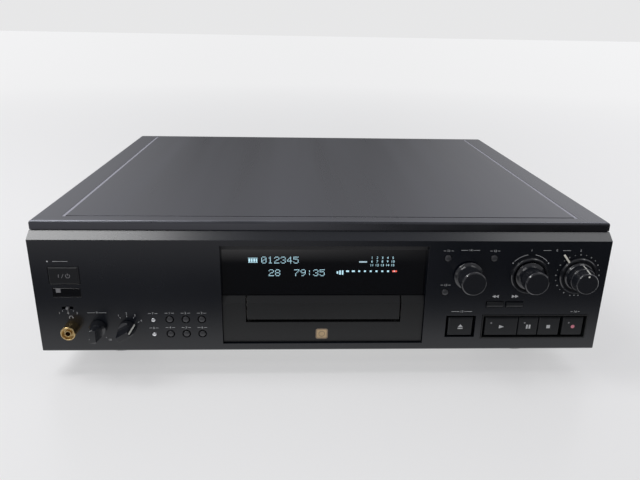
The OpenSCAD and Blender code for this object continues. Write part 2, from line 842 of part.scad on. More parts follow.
// Drawer front with the same sloped upper strip as the centre panel
module tray_front() {
    y = insert_back;
    color(satin) at_front()
        profile(-drawer_x, drawer_x) polygon([
            [y, drawer_z], [y, -insert_top - insert_slope], [y + insert_run, -insert_top],
            [tray_y, -insert_top], [tray_y, drawer_z]]);
}

// Tooth of a rack or gear: half width at height h over the pitch line
function tooth_half(h) = gear_m * PI / 4 - tooth_play / 2 - h * tan(20);

// Tray with the cartridge well, an opening for the drive, and a rack in its right side
module tray() {
    rack_y = gear_at.y - rack_spare * rack_pitch;
    rack_top = tray_z + gear_h + 2 * seat;
    color(satin) at_front() {
        difference() {
            box([-tray_x, tray_y, tray_z], [tray_x, tray_y + tray_len, tray_top]);
            box([-well.x / 2, well_y, tray_top - well.z],
                [well.x / 2, well_y + well.y, tray_top + 1]);
            box([-well.x / 2 + 6, well_y + 8, tray_z - 1],
                [well.x / 2 - 6, well_y + well.y - 8, tray_top]);
            box([rack_x - tooth_root, rack_y, tray_z - 1],
                [tray_x + 1, rack_y + rack_pitch * (rack_teeth - 1), rack_top]);
            // finger recess in front of the well
            translate([0, well_y + 2, tray_top - 3]) cylinder(d = 24, h = 4);
        }
        box([-tray_x, tray_y, tray_top - 2], [tray_x, tray_y + 3, -insert_top - 3]);
        translate([0, rack_y, tray_z]) linear_extrude(rack_top - tray_z + eps) rack();
    }
}

// Teeth of the rack, pointing to +X from its root
module rack() {
    for (i = [1:rack_teeth - 2])
        translate([rack_x, i * rack_pitch]) polygon([
            [-tooth_root - eps, -tooth_half(-tooth_root)], [tooth_top, -tooth_half(tooth_top)],
            [tooth_top, tooth_half(tooth_top)], [-tooth_root - eps, tooth_half(-tooth_root)]]);
}

// Straight-flanked gear outline with a given number of teeth, first tooth space at angle 0
module gear_outline(teeth) {
    r = gear_m * teeth / 2;
    add = 0.85 * gear_m;
    ded = 1.2 * gear_m;
    circle(r = r - ded);
    for (i = [0:teeth - 1]) rotate((i + 0.5) * 360 / teeth)
        polygon([[r - ded - 0.2, -tooth_half(-0.8 * gear_m)], [r - 0.3, -tooth_half(-0.2 * gear_m)],
                 [r + add, -tooth_half(1.15 * add)], [r + add, tooth_half(1.15 * add)],
                 [r - 0.3, tooth_half(-0.2 * gear_m)], [r - ded - 0.2, tooth_half(-0.8 * gear_m)]]);
}

// Loading gear on its post, in mesh with the rack
module loading_gear() {
    color(white_plastic) at_front() translate([gear_at.x, gear_at.y, gear_z]) difference() {
        linear_extrude(gear_h) gear_outline(gear_teeth);
        translate([0, 0, -1]) cylinder(d = post_d + 2 * run_fit, h = gear_h + 2);
    }
}

// Angle from the loading gear's centre to the pinion's
function pinion_angle() = atan2(pinion_at.y - gear_at.y, pinion_at.x - gear_at.x);

// Pinion on the motor's shaft, turned so that its teeth stand in the gear's spaces
module motor_pinion() {
    a = pinion_angle();
    gear_phase = (a * gear_teeth / 360) - floor(a * gear_teeth / 360);
    turn = a + 180 + (gear_phase - 0.5) * 360 / pinion_teeth;
    color(white_plastic) at_front() translate([pinion_at.x, pinion_at.y, gear_z]) {
        rotate(turn) linear_extrude(gear_h) gear_outline(pinion_teeth);
        translate([0, 0, deck_z - gear_z - 1]) cylinder(d = 2, h = gear_z - deck_z + 1.5);
    }
}

// Small can motor under the loader's floor
module loading_motor() {
    color(steel) at_front() translate([pinion_at.x, pinion_at.y, 0]) difference() {
        union() {
            translate([0, 0, deck_z - motor_h]) cylinder(d = motor_d, h = motor_h);
            translate([0, 0, deck_z - motor_h - 1]) cylinder(d = 6, h = 2);
        }
        translate([0, 0, deck_z - 1.5]) cylinder(d = 2 + 2 * run_fit, h = 3);
    }
}

// Frame that carries the drawer: floor, legs, side walls with rails, and two bridge bars
module loader_frame() {
    x1 = rail_x + rail_t;
    color(white_plastic) at_front() {
        loader_floor();
        for (side = [-1, 1]) mirror([side < 0 ? 1 : 0, 0, 0]) {
            loader_wall(side);
            for (y = [loader_y + 14, loader_end - 8])
                translate([x1 - 6, y, floor_z]) cylinder(d = 9, h = deck_z - floor_z - seam);
        }
        for (y = [disc_y - 10, disc_y + 6]) box([-x1, y, bridge_z], [x1, y + 4, bridge_z + bridge_t]);
        // blocks under the guide rods and the loading gear's post
        for (x = [sled_x - sled_travel - 11, 3], side = [-1, 1])
            translate([x, disc_y + side * rod_gap - 3, deck_top + seam])
                cube([3, 6, rod_z - rod_d / 2 - deck_top - 2 * seam]);
        translate([gear_at.x, gear_at.y, deck_top + seam]) {
            cylinder(d = 8, h = gear_z - deck_top - seat);
            cylinder(d = post_d, h = gear_z - deck_top + gear_h + 0.8);
        }
    }
}

// Floor of the loader with the ledge for the motor and the turntable's bearing
module loader_floor() {
    x1 = rail_x + rail_t;
    ledge = pinion_at + [motor_d / 2, motor_d / 2];
    difference() {
        union() {
            box([-x1, loader_y, deck_z], [x1, loader_end, deck_top]);
            box([0, loader_y + 6, deck_z], [ledge.x, ledge.y, deck_top]);
            translate([0, disc_y, deck_top - eps]) cylinder(d = 9, h = 1.2);
        }
        translate([0, disc_y, deck_z - 1]) cylinder(d = 4 + 2 * run_fit, h = 6);
        translate([pinion_at.x, pinion_at.y, deck_z - 1]) cylinder(d = 3.4, h = 4);
    }
}

// Side wall of the loader and its rails over and under the tray; the gear reaches through one
module loader_wall(side) {
    x0 = rail_x;
    x1 = rail_x + rail_t;
    difference() {
        box([x0, loader_y, deck_top + seam], [x1, loader_end, bridge_z - seam]);
        if (side > 0)
            box([x0 - 1, gear_at.y - gear_r - 2, gear_z - seat],
                [x1 + 1, gear_at.y + gear_r + 2, gear_z + gear_h + 2 * seat]);
    }
    for (z = [tray_z - seat - lip_t, tray_top + seat])
        box([x0 - lip_w, loader_y, z], [x0 - seam, loader_end, z + lip_t]);
}

// Two ground rods along the sled's way
module guide_rods() {
    color(steel) at_front() for (side = [-1, 1])
        translate([sled_x - sled_travel - 10, disc_y + side * rod_gap, rod_z])
            rotate([0, 90, 0]) cylinder(d = rod_d, h = sled_travel - sled_x + 15);
}

// Turntable with its centring cone and shaft
module turntable() {
    r = turntable_d / 2;
    z0 = deck_top + 1.5;
    color(steel) at_front() translate([0, disc_y, z0]) rotate_extrude() polygon([
        [0, deck_z - z0], [2, deck_z - z0], [2, 0], [r, 0], [r, 2.8], [r - 1, 3.4], [4, 3.4],
        [3, 4.8], [0, 4.8]]);
}

// Pick-up sled on its two rods, with the lens in its turret
module pickup_sled() {
    bore = rod_d + 2 * run_fit;
    color(satin) at_front() difference() {
        union() {
            box([sled_x - sled_w / 2, disc_y - rod_gap - 3, rod_z - 2.8],
                [sled_x + sled_w / 2, disc_y + rod_gap + 3, rod_z + 2.4]);
            translate([sled_x + 1, disc_y, rod_z + 2.3]) cylinder(d = 9, h = 0.5);
            translate([sled_x + 1, disc_y, rod_z + 2.7]) cylinder(d = 4, h = 0.5);
        }
        for (side = [-1, 1])
            translate([sled_x - sled_w, disc_y + side * rod_gap, rod_z])
                rotate([0, 90, 0]) cylinder(d = bore, h = 2 * sled_w);
    }
}

// Magnetic head hanging in the bridge's slot over the lens
module magnetic_head() {
    z1 = bridge_z + bridge_t;
    color(steel) at_front() {
        box([sled_x - 6, disc_y - 5.7, tray_top + 1.4], [sled_x + 6, disc_y + 5.7, z1 + seat + 1.4]);
        box([sled_x - 6, disc_y - 8.5, z1 + seat], [sled_x + 6, disc_y + 8.5, z1 + seat + 1.4]);
        box([sled_x - 1, disc_y - 2, tray_top + 0.6], [sled_x + 3, disc_y + 2, tray_top + 1.5]);
    }
}

// ---------- Electronics ----------

// Display tube on its board, held to the panel by four spacers
module display_module() {
    x = window_x + window_lap;
    y0 = fascia_t + window_t + seat;
    color(glass) at_front()
        box([12 - x, y0, 3.3 - insert_top], [x - 12, y0 + 6, -window_top - 4.6]);
    color(board_green) at_front() box([-x - 8, y0 + 6, -insert_top + 2], [x + 8, y0 + 7.6, -4]);
    color(zinc) at_front() for (side = [-1, 1], z = [-window_top - 4.6, 7.3 - insert_top])
        rod([side * (x + 3.5), z], 5, fascia_t, y0 + 6 + eps);
}

// Bush and case of a rotary control
module rotary(at) {
    difference() {
        union() {
            carry(at, fascia_t + 0.4, board_y + eps) square([13, 13], center = true);
            rod(at, knob_hole_d - 1.6, -2.2, fascia_t + 1);
        }
        rod(at, shaft_d + 2 * run_fit, -3, board_y - 0.4);
    }
}

// Push switch behind a button
module tact(at) {
    carry(at, switch_y, board_y + eps) square([6, 6], center = true);
    rod(at, 3, switch_y - 0.6, switch_y + 1);
}

// Boards behind the panel with their rotary controls and push switches
module control_board() {
    board_in = insert_x + 11;
    color(board_green) at_front() difference() {
        for (side = [-1, 1]) mirror([side < 0 ? 1 : 0, 0, 0])
            box([board_in, board_y, board_low], [board_edge, board_y + board_t, -6]);
        carry(phones_at, board_y - 1, board_y + 3) square([16, 16], center = true);
    }
    color(steel) at_front() {
        for (at = [phone_level_at, selector_at, jog_at, digital_at, analog_at]) rotary(at);
        tact(power_at);
        for (row = [0, 1]) {
            down = [0, -row * small_rows];
            tact(bright_at + down);
            for (i = [0:2]) tact(small_at + [i * small_step, 0] + down);
        }
        for (at = [menu_at, yes_at, clear_at, rewind_at, forward_at, open_at]) tact(at);
        for (i = [0:3]) tact(key_centre(i));
        carry(timer_at, fascia_t + 2, board_y + eps) square([14, 7], center = true);
        for (side = [-1, 1], z = [-10, board_low + 1], x = [board_in + 9.5, board_edge - 3])
            rod([side * x, z], 4, fascia_t, board_y + eps);
    }
}

// Board lying on four standoffs between two corners
module floor_board(a, b) {
    box([a.x, a.y, board_z], [b.x, b.y, board_z + board_t]);
    for (x = [a.x + 6, b.x - 6], y = [a.y + 6, b.y - 6])
        translate([x, y, floor_z]) cylinder(d = 5, h = board_z - floor_z + eps);
}

// Main board with its chips and capacitors
module main_board() {
    a = [split_x, main_front];
    b = [end_x - 10, main_rear];
    chips = [[a.x + 60, a.y + 30], [b.x - 145, a.y + 30], [b.x - 80, a.y + 60], [b.x - 185, b.y - 66]];
    color(board_green) at_front() floor_board(a, b);
    color(satin) at_front() translate([0, 0, board_z + board_t - eps]) {
        for (p = chips) translate([p.x, p.y, 0]) cube([24, 24, 2.6]);
        for (i = [0:9]) translate([b.x - 130 + 12 * i, b.y - 24, 0]) cylinder(d = 9, h = 14);
        for (i = [0:3]) translate([b.x - 45, a.y + 20 + 18 * i, 0]) cylinder(d = 12, h = 20);
    }
}

// Supply board with its reservoir capacitors and heat sink
module power_board() {
    a = [-boards_in, supply_front];
    b = [split_x - 1, supply_rear];
    color(board_green) at_front() floor_board(a, b);
    color(black) at_front() translate([0, 0, board_z + board_t - eps]) {
        for (x = [20, 46], y = [30, 60]) translate([a.x + x, a.y + y, 0]) cylinder(d = 22, h = 40);
        for (i = [0:2]) translate([b.x - 40, a.y + 20 + 12 * i, 0]) cylinder(d = 10, h = 18);
    }
    color(zinc) at_front() for (i = [0:6])
        translate([b.x - 50 + 6 * i, b.y - 50, board_z + board_t - eps]) cube([2, 34, 30]);
}

// Mains transformer: laminated core, winding and mounting plate
module transformer() {
    x = -boards_in + 2;
    y = core_rear - core_len;
    color(steel) at_front() {
        box([x, y - 5, floor_z], [x + 70, core_rear + 5, floor_z + 4]);
        box([x + 5, y, floor_z + 3], [x + 65, core_rear, floor_z + 56]);
    }
    color(copper) at_front() box([x + 17, y - 8, floor_z + 14], [x + 53, core_rear + 8, floor_z + 45]);
}

// Phono sockets and the rear board that they stand on
module phono_sockets() {
    foot = rear_y - 8;
    back = body_d + phono_l;
    places = phono_places();
    color(gold) at_front() for (at = places) difference() {
        rod(at, phono_d, foot, back);
        rod(at, phono_d - 1.6, rear_y + 2, back + 1);
        rod(at, 3.2, rear_y - 4, back + 1);
    }
    color(black) at_front() for (at = places) difference() {
        rod(at, phono_d + 2.8, foot, rear_y + 1.5);
        rod(at, phono_d - 0.1, foot - 1, rear_y + 2);
    }
    color(board_green) at_front()
        box([places[0].x - 12, foot - seam - board_t, jack_z - jack_drop - 10],
            [places[len(places) - 1].x - 8, foot - seam, jack_z + 10]);
}

// Optical sockets with square mouths on their rear board
module optical_ports() {
    color(black) at_front() for (at = optical_places()) difference() {
        carry(at, rear_y - 14, rear_y + 1) square([9.8, 9.8], center = true);
        carry(at, rear_y - 10, rear_y + 2) square([6.2, 6.2], center = true);
    }
    color(board_green) at_front()
        box([-30, rear_y - 14 - board_t, jack_z - 10], [34, rear_y - 14 + eps, jack_z + 10]);
}

// Mains inlet with its three pins and a flange on the rear panel
module mains_inlet() {
    color(black) at_front() difference() {
        union() {
            carry(inlet_at, rear_y, rear_y + 2) square([inlet_w + 14, inlet_h + 8], center = true);
            carry(inlet_at, rear_y - 22, rear_y + eps)
                square([inlet_w + 4, inlet_h + 4], center = true);
        }
        carry(inlet_at, rear_y - 18, rear_y + 3) square([inlet_w, inlet_h], center = true);
    }
    color(steel) at_front() for (p = [[-7, -2], [0, 2], [7, -2]])
        carry(inlet_at + p, rear_y - 18 - eps, rear_y - 4) square([2, 4], center = true);
}

fascia();
top_plate();
side_panel(-1);  // side_panel_left
side_panel(1);  // side_panel_right
chassis_base();
rear_panel();
feet();
case_screws();
display_window();
centre_panel();
ir_window();
phones_jack();
headphone_adapter();
digital_level_ring();
transport_bezel();
power_button();
timer_lever();
phone_level_knob();
input_selector_knob();
bright_button(0);  // pitch_button
bright_button(1);  // filter_button
small_button(0, 0);  // scroll_button
small_button(1, 0);  // character_button
small_button(2, 0);  // repeat_button
small_button(0, 1);  // fader_button
small_button(1, 1);  // clock_button
small_button(2, 1);  // time_button
menu_style_button(menu_at);  // menu_button
menu_style_button(yes_at);  // yes_button
menu_style_button(clear_at);  // clear_button
jog_shaft();
jog_knob();
digital_level_knob();
balance_ring();
analog_level_knob();
wind_button(rewind_at);  // rewind_button
wind_button(forward_at);  // forward_button
open_close_button();
transport_key(0);  // play_button
transport_key(1);  // pause_button
transport_key(2);  // stop_button
transport_key(3);  // record_button
tray_front();
tray();
loader_frame();
loading_gear();
loading_motor();
motor_pinion();
turntable();
pickup_sled();
guide_rods();
magnetic_head();
display_module();
control_board();
main_board();
power_board();
transformer();
phono_sockets();
optical_ports();
mains_inlet();
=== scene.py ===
"""Minidisc deck: finishes, printed marks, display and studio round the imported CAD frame."""
import math
import bpy
import bmesh
from mathutils import Matrix, Vector


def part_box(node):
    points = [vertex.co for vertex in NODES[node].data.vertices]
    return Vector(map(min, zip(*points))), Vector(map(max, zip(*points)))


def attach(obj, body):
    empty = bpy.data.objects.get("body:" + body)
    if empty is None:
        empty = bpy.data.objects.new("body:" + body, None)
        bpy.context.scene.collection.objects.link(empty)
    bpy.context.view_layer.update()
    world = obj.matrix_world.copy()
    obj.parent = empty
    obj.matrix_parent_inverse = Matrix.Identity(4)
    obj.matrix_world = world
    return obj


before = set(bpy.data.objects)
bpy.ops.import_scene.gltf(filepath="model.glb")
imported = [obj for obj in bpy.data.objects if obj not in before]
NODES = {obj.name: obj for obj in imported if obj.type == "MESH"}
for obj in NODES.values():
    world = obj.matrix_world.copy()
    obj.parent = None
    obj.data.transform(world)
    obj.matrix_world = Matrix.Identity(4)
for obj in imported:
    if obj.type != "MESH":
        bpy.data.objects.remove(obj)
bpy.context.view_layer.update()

MM = 0.001

# Planes of the front, from the frame: its face, and the edge where its slope starts
FASCIA_LOW, FASCIA_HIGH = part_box("fascia")
SLOPE_RISE = 5 * MM
FACE_Y = FASCIA_LOW[1]
EDGE_Z = FASCIA_HIGH[2] - SLOPE_RISE
PRINT_T = 0.06 * MM

# Groups of buttons, from left to right
ROUND_BUTTONS = ["scroll_button", "character_button", "repeat_button", "fader_button",
                 "clock_button", "time_button"]
BRIGHT_BUTTONS = ["pitch_button", "filter_button"]
MENU_BUTTONS = ["menu_button", "yes_button", "clear_button"]


def at_front(x, depth, z):
    """A point in metres from millimetres: sideways, behind the front's face, above its upper edge."""
    return Vector((x * MM, FACE_Y + depth * MM, EDGE_Z + z * MM))


def centre(node):
    """Middle of a node in front coordinates, in millimetres: (sideways, height)."""
    low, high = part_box(node)
    return ((low[0] + high[0]) / 2 / MM, ((low[2] + high[2]) / 2 - EDGE_Z) / MM)


def front_of(node):
    """Depth of a node's foremost point behind the front's face, in millimetres."""
    return (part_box(node)[0][1] - FACE_Y) / MM


# ---------- Materials ----------

class Nodes:
    """Short helpers round one material's node tree."""

    def __init__(self, name):
        self.material = bpy.data.materials.new(name)
        self.material.use_nodes = True
        self.tree = self.material.node_tree
        self.shader = self.tree.nodes["Principled BSDF"]

    def add(self, kind, **values):
        """New node, with its sockets or properties set by name."""
        node = self.tree.nodes.new(kind)
        for key, value in values.items():
            if key in node.inputs:
                node.inputs[key].default_value = value
            else:
                setattr(node, key, value)
        return node

    def link(self, source, target):
        self.tree.links.new(source, target)

    def stretched(self, scale):
        """Object coordinates scaled along each axis."""
        place = self.add("ShaderNodeTexCoord")
        mapping = self.add("ShaderNodeMapping", Scale=scale)
        self.link(place.outputs["Object"], mapping.inputs["Vector"])
        return mapping.outputs["Vector"]

    def noise(self, scale, detail=4.0, stretch=(1, 1, 1)):
        texture = self.add("ShaderNodeTexNoise", Scale=scale, Detail=detail)
        self.link(self.stretched(stretch), texture.inputs["Vector"])
        return texture.outputs["Fac"]

    def spread(self, value, low, high, start=0.3, end=0.7):
        """The value's middle stretch spread between low and high."""
        ramp = self.add("ShaderNodeMapRange")
        ramp.inputs["From Min"].default_value = start
        ramp.inputs["From Max"].default_value = end
        ramp.inputs["To Min"].default_value = low
        ramp.inputs["To Max"].default_value = high
        self.link(value, ramp.inputs["Value"])
        return ramp.outputs["Result"]

    def blend(self, factor, first, second):
        """From the first colour at 0 to the second at 1."""
        mix = self.add("ShaderNodeMix", data_type="RGBA")
        mix.inputs[6].default_value = (*first, 1)
        mix.inputs[7].default_value = (*second, 1)
        self.link(factor, mix.inputs[0])
        return mix.outputs[2]

    def bump(self, height, strength, distance):
        node = self.add("ShaderNodeBump", Strength=strength, Distance=distance)
        self.link(height, node.inputs["Height"])
        self.link(node.outputs["Normal"], self.shader.inputs["Normal"])


def finish_of(name, colour, rough, metallic=0.0, specular=0.5, coat=0.0, coat_rough=0.05,
              tint=1.25, cloud=9.0, grain=900.0, grain_bump=0.12, stretch=(1, 1, 1)):
    """A moulded, painted or metal finish: clouded colour and gloss over a fine grain."""
    n = Nodes(name)
    lighter = tuple(min(1, c * tint) for c in colour)
    clouds = n.noise(cloud, 5.0, stretch)
    n.link(n.blend(n.spread(clouds, 0, 1), colour, lighter), n.shader.inputs["Base Color"])
    n.link(n.spread(clouds, rough * 0.92, min(1, rough * 1.1)), n.shader.inputs["Roughness"])
    n.shader.inputs["Metallic"].default_value = metallic
    n.shader.inputs["Specular IOR Level"].default_value = specular
    n.shader.inputs["Coat Weight"].default_value = coat
    n.shader.inputs["Coat Roughness"].default_value = coat_rough
    n.bump(n.noise(grain, 3.0, stretch), grain_bump, 0.00005)
    return n.material


def brushed(name, colour, rough, stretch, depth=0.25):
    """Metal with fine lines along one axis."""
    n = Nodes(name)
    lines = n.noise(60.0, 8.0, stretch)
    darker = tuple(c * 0.86 for c in colour)
    n.link(n.blend(n.spread(lines, 0, 1), darker, colour), n.shader.inputs["Base Color"])
    n.link(n.spread(lines, rough * 0.85, rough * 1.15), n.shader.inputs["Roughness"])
    n.shader.inputs["Metallic"].default_value = 1
    n.bump(lines, depth, 0.00004)
    return n.material


def glow(name, colour, strength):
    """A lit mark of the display, with a faint unevenness between its dots."""
    n = Nodes(name)
    shade = n.blend(n.spread(n.noise(700.0), 0, 1), tuple(c * 0.82 for c in colour), colour)
    n.link(shade, n.shader.inputs["Emission Color"])
    n.link(shade, n.shader.inputs["Base Color"])
    n.shader.inputs["Emission Strength"].default_value = strength
    n.shader.inputs["Roughness"].default_value = 0.5
    return n.material


BLACK_FRONT = (0.0022, 0.0036, 0.0075)

# Materials by their short names
M = {
    "front": finish_of("front_paint", BLACK_FRONT, 0.25, specular=0.68, grain=1400, grain_bump=0.10),
    "top": brushed("top_paint", (0.114, 0.117, 0.132), 0.30, (0.5, 0.02, 1), depth=0.05),
    "sheet": finish_of("sheet_paint", (0.022, 0.022, 0.024), 0.5, grain=1100, grain_bump=0.35),
    "zinc": finish_of("zinc", (0.5, 0.5, 0.48), 0.38, metallic=1.0, cloud=30, tint=1.15),
    "foot": finish_of("foot_plastic", (0.018, 0.018, 0.019), 0.45, grain=1600, grain_bump=0.2),
    "screw": finish_of("screw_black", (0.03, 0.03, 0.032), 0.35, metallic=0.6),
    "glass": finish_of("window_glass", (0.0015, 0.0018, 0.003), 0.05, specular=1.0, grain_bump=0.0),
    "panel": finish_of("panel_paint", (0.010, 0.0105, 0.0115), 0.36, specular=0.45, grain=1500),
    "knob": finish_of("knob_lacquer", (0.009, 0.010, 0.013), 0.16, coat=0.8, coat_rough=0.06,
                      grain_bump=0.03),
    "button": finish_of("button_paint", (0.006, 0.007, 0.009), 0.34, specular=0.40, grain=1500),
    # Pale fill of the grooves: painted highlight where their walls catch the light; the dim one is a
    # shaded copy
    "groove": finish_of("groove_painted_highlight", (0.28, 0.28, 0.33), 0.4),
    "groove_shaded_highlight": finish_of("groove_painted_highlight_dim", (0.12, 0.12, 0.14), 0.4),
    "small": finish_of("small_button", (0.030, 0.031, 0.035), 0.25, specular=0.6, grain=1500),
    "bright": finish_of("bright_button", (0.72, 0.73, 0.76), 0.18, metallic=1.0, grain_bump=0.03),
    "lever": finish_of("lever_plastic", (0.17, 0.17, 0.18), 0.4),
    "gold": brushed("gold_plate", (0.72, 0.53, 0.26), 0.24, (1, 0.1, 1), depth=0.1),
    "nylon": finish_of("white_nylon", (0.62, 0.61, 0.57), 0.45),
    "steel": brushed("ground_steel", (0.56, 0.56, 0.58), 0.3, (0.1, 1, 1)),
    "board": finish_of("circuit_board", (0.02, 0.09, 0.045), 0.4, cloud=60, tint=1.5),
    "tube": finish_of("display_tube", (0.012, 0.014, 0.016), 0.12, coat=1.0),
    "core": finish_of("transformer_core", (0.09, 0.09, 0.095), 0.5, metallic=0.7, cloud=40),
    "socket": finish_of("socket_plastic", (0.02, 0.02, 0.021), 0.4),
    "ink": finish_of("grey_ink", (0.46, 0.47, 0.48), 0.5, cloud=200),
    "scale_ink": finish_of("scale_ink", (0.25, 0.26, 0.26), 0.5, cloud=200),
    "white_ink": finish_of("white_ink", (0.62, 0.62, 0.58), 0.45, cloud=200),
    "cream": finish_of("cream_pointer", (0.70, 0.68, 0.60), 0.35, cloud=120),
    "emblem": finish_of("emblem_tan", (0.50, 0.36, 0.20), 0.4, cloud=150),
    "emblem_edge": finish_of("emblem_brown", (0.26, 0.19, 0.13), 0.4, cloud=150),
    "red_ink": finish_of("red_ink", (0.62, 0.20, 0.26), 0.4, cloud=200),
    "vfd": glow("display_cyan", (0.50, 0.80, 0.92), 0.62),
    "vfd_dim": glow("display_dim", (0.45, 0.62, 0.70), 0.45),
    "vfd_red": glow("display_red", (1.0, 0.13, 0.08), 0.55),
}

# Material and edge rounding (mm) of each CAD node
DRESS = {
    "fascia": ("front", 0.35), "top_plate": ("top", 0.25), "side_panel_left": ("sheet", 0.3),
    "side_panel_right": ("sheet", 0.3), "chassis_base": ("zinc", 0.2), "rear_panel": ("sheet", 0.2),
    "feet": ("foot", 0.4), "case_screws": ("screw", 0.25), "display_window": ("glass", 0.3),
    "centre_panel": ("panel", 0.25), "ir_window": ("glass", 0.3), "phones_jack": ("socket", 0.3),
    "headphone_adapter": ("gold", 0.15), "digital_level_ring": ("knob", 0.15),
    "transport_bezel": ("panel", 0.2), "timer_lever": ("lever", 0.25), "jog_shaft": ("steel", 0.2),
    "phone_level_knob": ("knob", 0.35), "input_selector_knob": ("knob", 0.35),
    "jog_knob": ("knob", 0.3), "digital_level_knob": ("knob", 0.3), "balance_ring": ("knob", 0.25),
    "analog_level_knob": ("knob", 0.3), "tray_front": ("panel", 0.25), "tray": ("socket", 0.25),
    "loader_frame": ("nylon", 0.2), "loading_gear": ("nylon", 0.08), "loading_motor": ("steel", 0.3),
    "motor_pinion": ("nylon", 0.08), "turntable": ("steel", 0.2), "pickup_sled": ("socket", 0.2),
    "guide_rods": ("steel", 0.2), "magnetic_head": ("steel", 0.15), "display_module": ("tube", 0.3),
    "control_board": ("board", 0.1), "main_board": ("board", 0.1), "power_board": ("board", 0.1),
    "transformer": ("core", 0.5), "phono_sockets": ("gold", 0.15), "optical_ports": ("socket", 0.2),
    "mains_inlet": ("socket", 0.3),
}
DRESS.update({name: ("bright", 0.3) for name in BRIGHT_BUTTONS})
DRESS.update({name: ("small", 0.4) for name in ROUND_BUTTONS + MENU_BUTTONS})
OTHER_BUTTON = ("button", 0.3)


def round_edges(obj, width):
    """Weld, merge flat faces and round the sharp edges, without touching the mesh itself."""
    weld = obj.modifiers.new("weld", "WELD")
    weld.merge_threshold = 2e-6
    flat = obj.modifiers.new("flat", "DECIMATE")
    flat.decimate_type = "DISSOLVE"
    flat.angle_limit = math.radians(0.4)
    bevel = obj.modifiers.new("edges", "BEVEL")
    bevel.width = width * MM
    bevel.segments = 3
    bevel.limit_method = "ANGLE"
    bevel.angle_limit = math.radians(28)
    bevel.harden_normals = True
    bevel.use_clamp_overlap = True


def dress(name):
    """Give a CAD node its material, smooth shading and rounded edges."""
    obj = NODES[name]
    material, width = DRESS.get(name, OTHER_BUTTON)
    obj.data.materials.clear()
    obj.data.materials.append(M[material])
    bpy.context.view_layer.objects.active = obj
    if obj.data.has_custom_normals:
        bpy.ops.mesh.customdata_custom_splitnormals_clear()
    for polygon in obj.data.polygons:
        polygon.use_smooth = True
    round_edges(obj, width)


for node_name in NODES:
    dress(node_name)


# ---------- Pieces made in mesh code ----------

def add_piece(name, mesh, material, body):
    """Put a mesh into the scene as a visual piece that rides a body or a CAD node."""
    mesh.materials.append(M[material])
    obj = bpy.data.objects.new(name, mesh)
    bpy.context.scene.collection.objects.link(obj)
    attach(obj, body)


def front_outline(loops, depth):
    """Thin solid from closed outlines [(x, z), ...] in mm, standing on the plane at that depth."""
    bm = bmesh.new()
    for loop in loops:
        verts = [bm.verts.new(at_front(x, depth, z)) for x, z in loop]
        face = bm.faces.new(verts)
        back = bmesh.ops.extrude_face_region(bm, geom=[face])
        moved = [v for v in back["geom"] if isinstance(v, bmesh.types.BMVert)]
        bmesh.ops.translate(bm, verts=moved, vec=(0, -PRINT_T, 0))
    bmesh.ops.recalc_face_normals(bm, faces=bm.faces)
    mesh = bpy.data.meshes.new("marks")
    bm.to_mesh(mesh)
    bm.free()
    return mesh


def disc(x, z, r, count=20):
    """Round outline about (x, z)."""
    return [(x + r * math.cos(2 * math.pi * i / count), z + r * math.sin(2 * math.pi * i / count))
            for i in range(count)]


def block(x, z, w, h):
    """Rectangle about (x, z)."""
    return [(x - w / 2, z - h / 2), (x + w / 2, z - h / 2), (x + w / 2, z + h / 2),
            (x - w / 2, z + h / 2)]


def soft_block(x, z, w, h, r, count=6):
    """Block with round corners."""
    loop = []
    for i, (sx, sz) in enumerate([(1, 1), (-1, 1), (-1, -1), (1, -1)]):
        for k in range(count + 1):
            a = math.radians(90 * (i + k / count))
            loop.append((x + sx * (w / 2 - r) + r * math.cos(a), z + sz * (h / 2 - r) + r * math.sin(a)))
    return loop


def band(x, z, r, width, start, end, count=24):
    """Arc band about (x, z); angles in degrees clockwise from the top."""
    steps = [math.radians(start + (end - start) * i / count) for i in range(count + 1)]
    outer = [(x + (r + width / 2) * math.sin(a), z + (r + width / 2) * math.cos(a)) for a in steps]
    inner = [(x + (r - width / 2) * math.sin(a), z + (r - width / 2) * math.cos(a)) for a in steps]
    return outer + inner[::-1]


def stroke(x, z, length, width, angle, offset=0.0):
    """Bar whose middle is offset from (x, z) along an angle clockwise from the top."""
    a = math.radians(angle)
    along = Vector((math.sin(a), math.cos(a)))
    across = Vector((math.cos(a), -math.sin(a)))
    middle = Vector((x, z)) + along * offset
    corners = [(-1, -1), (1, -1), (1, 1), (-1, 1)]
    return [tuple(middle + across * (i * width / 2) + along * (j * length / 2)) for i, j in corners]


def triangle(x, z, size, heading):
    """Triangle pointing right (1) or left (-1)."""
    h = heading * size / 2
    return [(x - h, z - size / 2), (x + h, z), (x - h, z + size / 2)]


# For figures 1 high: size of the font and width of a figure; and the spacing of its figures
FONT_SIZE = 1.38
FIGURE_W = 0.8
FONT_SPACE = 1.12


def digits(name, text, x, z, height, depth, material, body):
    """Plain numbers, centred on (x, z)."""
    curve = bpy.data.curves.new(name, "FONT")
    curve.body = text
    curve.size = height * MM * FONT_SIZE
    curve.align_x = "CENTER"
    curve.align_y = "CENTER"
    curve.space_character = FONT_SPACE
    curve.extrude = PRINT_T / 2
    obj = bpy.data.objects.new(name, curve)
    obj.rotation_euler = (math.radians(90), 0, 0)
    obj.location = at_front(x, depth - PRINT_T / 2 / MM, z)
    bpy.context.scene.collection.objects.link(obj)
    obj.data.materials.append(M[material])
    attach(obj, body)


class Printed:
    """Printed marks of one colour on one plane, gathered into a single piece."""

    def __init__(self, name, material, body, depth):
        self.name, self.material, self.body, self.depth = name, material, body, depth
        self.loops = []

    def put(self, *loops):
        """Add outlines [(x, z), ...]."""
        self.loops.extend(loops)
        return self

    def done(self):
        """Make the piece from all outlines put so far."""
        add_piece(self.name, front_outline(self.loops, self.depth), self.material, self.body)


# ---------- Printing on the front ----------

